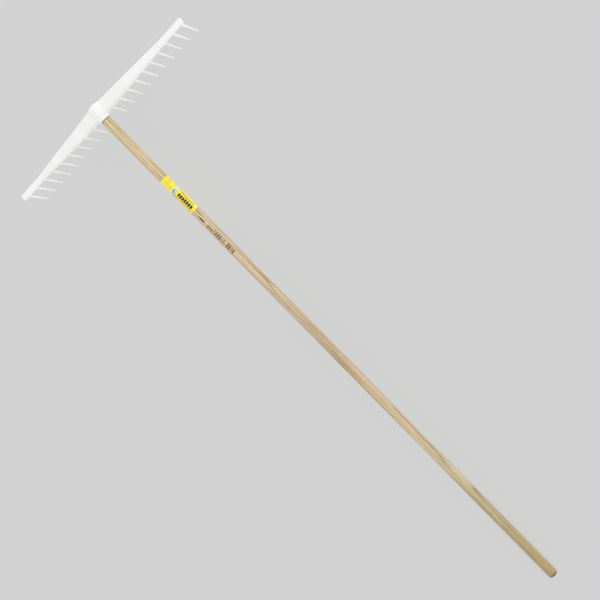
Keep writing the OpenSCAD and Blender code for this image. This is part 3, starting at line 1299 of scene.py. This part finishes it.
@dataclass
class AshPole:
    """The pole, its printed sleeve and the screw that holds it.

    The film is thicker where it laps over its own start, from the share lap_at of the way around.
    film_lip and film_sunk are shares of its thickness: what its ends lack, and what is in the wood.
    """

    place: RakeFrame
    sizes: PoleSizes
    around: int = 96
    shaft_rings: int = 150
    butt_rings: int = 14
    film_rings: int = 40
    film: float = 0.3
    film_lip: float = 0.08
    film_sunk: float = 0.02
    film_wave: float = 0.25
    lap: float = 0.09
    lap_at: float = 0.06
    lap_more: float = 0.8

    @property
    def angles(self) -> np.ndarray:
        """Angles around the pole, from its underside over the user's right to the top and back."""
        return np.linspace(0, 2 * math.pi, self.around, endpoint=False)

    @property
    def shares(self) -> np.ndarray:
        """Shares of the way around, 0 to 1, for a UV map's v."""
        return np.linspace(0, 1, self.around + 1)

    def _rings(self, radius: np.ndarray, along: np.ndarray) -> np.ndarray:
        """Rings of a tube: at angle a the point is (-r sin a, r cos a) from the axis.

        Args:
            radius: radii, as (ring, point).
            along: places along the pole, as (ring, 1) or (ring, point).

        Returns:
            Points at rest, in metres.
        """
        a = self.angles
        spread = np.broadcast_to(along, radius.shape)
        return self.place.pole(np.stack([-radius * np.sin(a), radius * np.cos(a), spread], axis=-1))

    def build_pole(self, finish: bpy.types.Material) -> bpy.types.Object:
        """Turns the pole: thin neck, long shaft with slight waves, and butt rounded by an arc.

        Args:
            finish: the ash.

        Returns:
            The pole.
        """
        s = self.sizes
        neck = s.r - s.neck_play
        neck_end = s.socket_front + s.neck_past
        nose = [(s.seat_at, neck - s.nose_chamfer), (s.seat_at + s.nose_chamfer, neck),
                (neck_end - s.neck_play, neck)]
        shaft = np.linspace(neck_end, s.butt_at - s.butt_r, self.shaft_rings)
        turn = np.linspace(0, QUARTER, self.butt_rings + 1)[1:]
        rounding = np.stack([s.butt_at - s.butt_r + s.butt_r * np.sin(turn),
                             s.r - s.butt_r + s.butt_r * np.cos(turn)], axis=-1)
        profile = np.concatenate([nose, np.stack([shaft, np.full_like(shaft, s.r)], axis=-1), rounding])
        along, radius = profile[:, :1], profile[:, 1:]
        radius = radius + s.unevenness(self.angles, along) * (radius / s.r)
        u = (along[:, 0] - s.seat_at) / s.length
        pole = skin("ash_pole", self._rings(radius, along), 30.0, (u, self.shares))
        return dressed(pole, finish, "handle")

    def build_label(self, finish: bpy.types.Material) -> bpy.types.Object:
        """Wraps the film around the pole, down its outside and back inside.

        The radius is the pole's own, plus a share of the film's thickness that each ring has.

        Args:
            finish: the printed film.

        Returns:
            The label.
        """
        s = self.sizes
        a = self.angles
        start = s.socket_front + s.label_start
        end = start + s.label_len
        around = self.shares[:-1]
        lapped = (around > self.lap_at) & (around < self.lap_at + self.lap)
        thick = self.film * (1 + self.lap_more * lapped)
        edge = self.film_wave * np.sin(3 * a + 0.6) * np.sin(a + 2.0)
        middle = np.linspace(start, end, self.film_rings)[1:-1]
        lip = 1 - self.film_lip
        rows = [(start, -self.film_sunk, 1), (start, lip, 1), *((t, 1.0, 0) for t in middle),
                (end, lip, -1), (end, -self.film_sunk, -1)]
        along, share, waved = np.array(rows).T[..., None]
        radius = s.r + s.unevenness(a, along) + share * thick
        u = (along[:, 0] - start) / s.label_len
        label = skin("label_film", self._rings(radius, along + waved * edge), 60.0,
                     (u, self.shares), capped=False)
        return dressed(label, finish, "label_sleeve")

    def dress_screw(self, finish: bpy.types.Material) -> None:
        """Gives the screw's own solid its zinc.

        Args:
            finish: the zinc.
        """
        screw = frame["nodes"]["fixing_screw"]
        screw.data.materials.clear()
        screw.data.materials.append(finish)
        log.info("fixing_screw: keeps its solid")


@dataclass(frozen=True)
class Studio:
    """Plain grey floor, soft light and the photograph's camera.

    The floor is partly lit and partly glows, so that its shadows stay faint. It throws light back
    like a white sheet.
    """

    grey: tuple = srgb(211, 211, 211)
    bounce: tuple = srgb(252, 252, 252)
    glow: float = 0.86
    sky: float = 0.925
    sun: float = 0.4
    sun_angle: float = 55.0
    sun_from: tuple = (-0.88, -0.12, 0.46)
    floor_half: float = 60.0
    camera_at: tuple = (-1.28870, -0.07009, 3.37224)
    camera_forward: tuple = (0.3543, -0.01695, -0.93494)
    camera_up: tuple = (-0.64903, -0.72428, -0.23275)
    focal_px: float = 1300.0
    frame_px: float = 600.0
    sensor: float = 36.0
    view_end: float = 200.0

    def build_camera(self) -> None:
        """Sets the camera that looks down on the rake from the user's right."""
        data = bpy.data.cameras.new("camera")
        data.sensor_width = self.sensor
        data.lens = self.focal_px * self.sensor / self.frame_px
        data.clip_end = self.view_end
        forward = Vector(self.camera_forward).normalized()
        right = forward.cross(Vector(self.camera_up)).normalized()
        turn = Matrix((right, right.cross(forward), -forward)).transposed().to_4x4()
        camera = linked("camera", data)
        camera.matrix_world = Matrix.Translation(self.camera_at) @ turn
        bpy.context.scene.camera = camera

    def build_floor(self) -> None:
        """Lays a wide plain floor under the tine tips and the butt."""
        h = self.floor_half
        mesh = bpy.data.meshes.new("floor")
        mesh.from_pydata([(-h, -h, 0), (h, -h, 0), (h, h, 0), (-h, h, 0)], [], [(0, 1, 2, 3)])
        floor = linked("floor", mesh)
        g = Graph.material("floor_grey")
        lit = g.node("ShaderNodeBsdfDiffuse", None, {"Color": self.grey})
        glow = g.node("ShaderNodeEmission", None, {"Color": self.grey})
        bounce = g.node("ShaderNodeBsdfDiffuse", None, {"Color": self.bounce})
        g.end(g.blend(g.shown(), bounce, g.blend(self.glow, lit, glow)))
        mesh.materials.append(g.owner)

    def build_light(self) -> None:
        """Lights the rake with an even sky and one wide, soft sun."""
        world = bpy.data.worlds.new("studio")
        bpy.context.scene.world = world
        g = Graph(world)
        light = g.node("ShaderNodeBackground", None, {"Color": (1, 1, 1, 1), "Strength": self.sky})
        backdrop = g.node("ShaderNodeBackground", None, {"Color": self.grey})
        g.end(g.blend(g.shown(), light, backdrop), "ShaderNodeOutputWorld")
        lamp = bpy.data.lights.new("sun", "SUN")
        lamp.energy = self.sun
        lamp.angle = math.radians(self.sun_angle)
        linked("sun", lamp).rotation_euler = Vector(self.sun_from).to_track_quat("Z", "Y").to_euler()

    def build(self) -> None:
        """Builds camera, floor and light."""
        bpy.context.scene.view_settings.view_transform = "Standard"
        self.build_camera()
        self.build_floor()
        self.build_light()


def main() -> None:
    """Builds the rake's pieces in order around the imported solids."""
    logging.basicConfig(level=logging.INFO, format="%(name)s: %(message)s")
    pole_sizes = PoleSizes()
    place = RakeFrame.from_record(frame["record"], pole_sizes)
    Studio().build()
    NylonHead(place, HeadSizes(), pole_sizes, NylonFinish().build()).build()
    ash = AshFinish(place.pole_turn, tuple(place.origin.tolist()), pole_sizes)
    pole = AshPole(place, pole_sizes)
    pole.build_pole(ash.build())
    pole.build_label(LabelFinish(pole_sizes.label_len).build())
    pole.dress_screw(ZincFinish().build())


if __name__ == "__main__":
    main()
